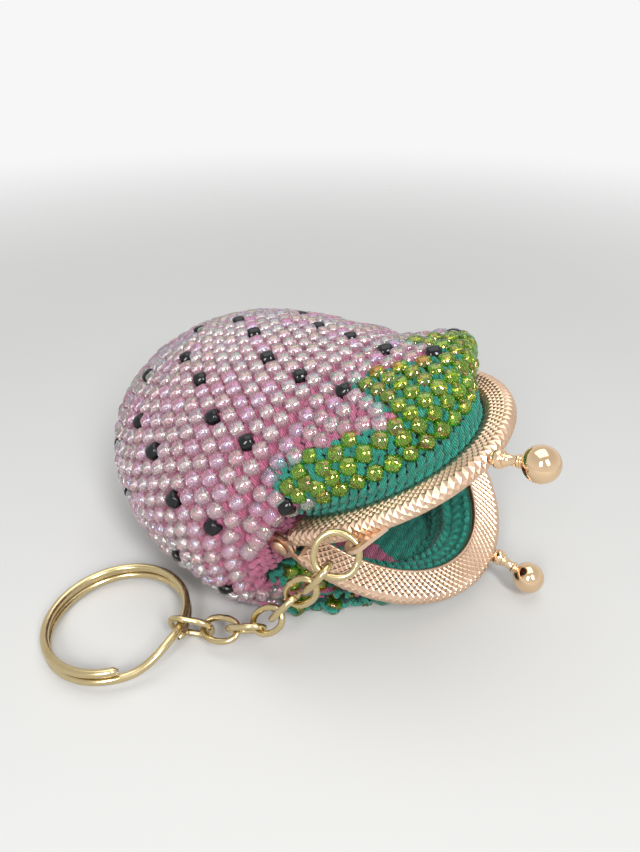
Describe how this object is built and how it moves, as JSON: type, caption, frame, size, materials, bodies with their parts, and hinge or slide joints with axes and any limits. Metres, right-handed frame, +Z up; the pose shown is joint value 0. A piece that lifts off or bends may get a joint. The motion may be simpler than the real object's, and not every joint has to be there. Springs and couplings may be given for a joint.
{
  "type": "coin purse",
  "caption": "Small plump beaded crochet coin purse with a kiss-clasp metal frame, shown ajar, and a short chain that ends in a split key ring.",
  "frame": {"origin": "middle of the flat patch that the pouch rests on, on the table", "axes": "+X from the pouch's tip towards its mouth, +Y along the hinge towards the far end, +Z up"},
  "size_m": [0.1123, 0.104, 0.0548],
  "materials": {
    "pink_beads": "gloss",
    "green_beads_on_teal": "satin",
    "rose_gold": "satin",
    "polished_gold": "polished",
    "pale_brass": "gloss",
    "paper_cord": "matte"
  },
  "bodies": {
    "pouch": {"pouch_body": "pink_beads", "back_flap": "green_beads_on_teal", "back_jaw": "rose_gold", "back_clasp": "polished_gold", "back_packing_cord": "paper_cord", "near_rivet": "rose_gold", "far_rivet": "rose_gold"},
    "front_frame": {"front_jaw": "rose_gold", "front_flap": "green_beads_on_teal", "front_clasp": "polished_gold", "front_packing_cord": "paper_cord"},
    "jump_ring": {"jump_ring": "pale_brass"},
    "chain_link_1": {"chain_link_1": "pale_brass"},
    "chain_link_2": {"chain_link_2": "pale_brass"},
    "chain_link_3": {"chain_link_3": "pale_brass"},
    "chain_link_4": {"chain_link_4": "pale_brass"},
    "chain_link_5": {"chain_link_5": "pale_brass"},
    "chain_link_6": {"chain_link_6": "pale_brass"},
    "chain_link_7": {"chain_link_7": "pale_brass"},
    "split_ring": {"split_ring": "pale_brass"}
  },
  "joints": [
    {"name": "frame_hinge", "type": "hinge", "parent": "pouch", "child": "front_frame", "pos_m": [0.02, 0, 0.0268], "axis": [0, -0.9744, -0.225], "range_deg": [-58, 45], "deforming": ["front_flap"]},
    {"name": "jump_ring_swing", "type": "hinge", "parent": "front_frame", "child": "jump_ring", "pos_m": [0.03723, -0.02772, 0.02984], "axis": [-0.4446, -0.2015, 0.8728], "range_deg": [-2, 40]},
    {"name": "chain_link_1_swing", "type": "hinge", "parent": "jump_ring", "child": "chain_link_1", "pos_m": [0.03369, -0.0328, 0.0252], "axis": [-0.8433, -0.1824, 0.5056], "range_deg": [-2, 40]},
    {"name": "chain_link_2_swing", "type": "hinge", "parent": "chain_link_1", "child": "chain_link_2", "pos_m": [0.03063, -0.03341, 0.02037], "axis": [0.1818, -0.9833, 0.0076], "range_deg": [-5, 35]},
    {"name": "chain_link_3_swing", "type": "hinge", "parent": "chain_link_2", "child": "chain_link_3", "pos_m": [0.02754, -0.03439, 0.01562], "axis": [0.8326, 0.0437, -0.5521], "range_deg": [-35, 4]},
    {"name": "chain_link_4_swing", "type": "hinge", "parent": "chain_link_3", "child": "chain_link_4", "pos_m": [0.0246, -0.03583, 0.0109], "axis": [0.0981, -0.9672, 0.2344], "range_deg": [-4, 35]},
    {"name": "chain_link_5_swing", "type": "hinge", "parent": "chain_link_4", "child": "chain_link_5", "pos_m": [0.02086, -0.03755, 0.00688], "axis": [-0.7572, 0.3291, 0.5642], "range_deg": [-10, 35]},
    {"name": "chain_link_6_swing", "type": "hinge", "parent": "chain_link_5", "child": "chain_link_6", "pos_m": [0.01587, -0.0394, 0.0047], "axis": [0.0921, 0.6459, -0.7578], "range_deg": [-35, 4]},
    {"name": "chain_link_7_swing", "type": "hinge", "parent": "chain_link_6", "child": "chain_link_7", "pos_m": [0.01067, -0.04168, 0.0038], "axis": [-0.4245, 0.8036, 0.4171], "range_deg": [-30, 35]},
    {"name": "split_ring_swing", "type": "hinge", "parent": "chain_link_7", "child": "split_ring", "pos_m": [0.00463, -0.04469, 0.00389], "axis": [0.1481, -0.2666, 0.9524], "range_deg": [-12, 15]}
  ]
}
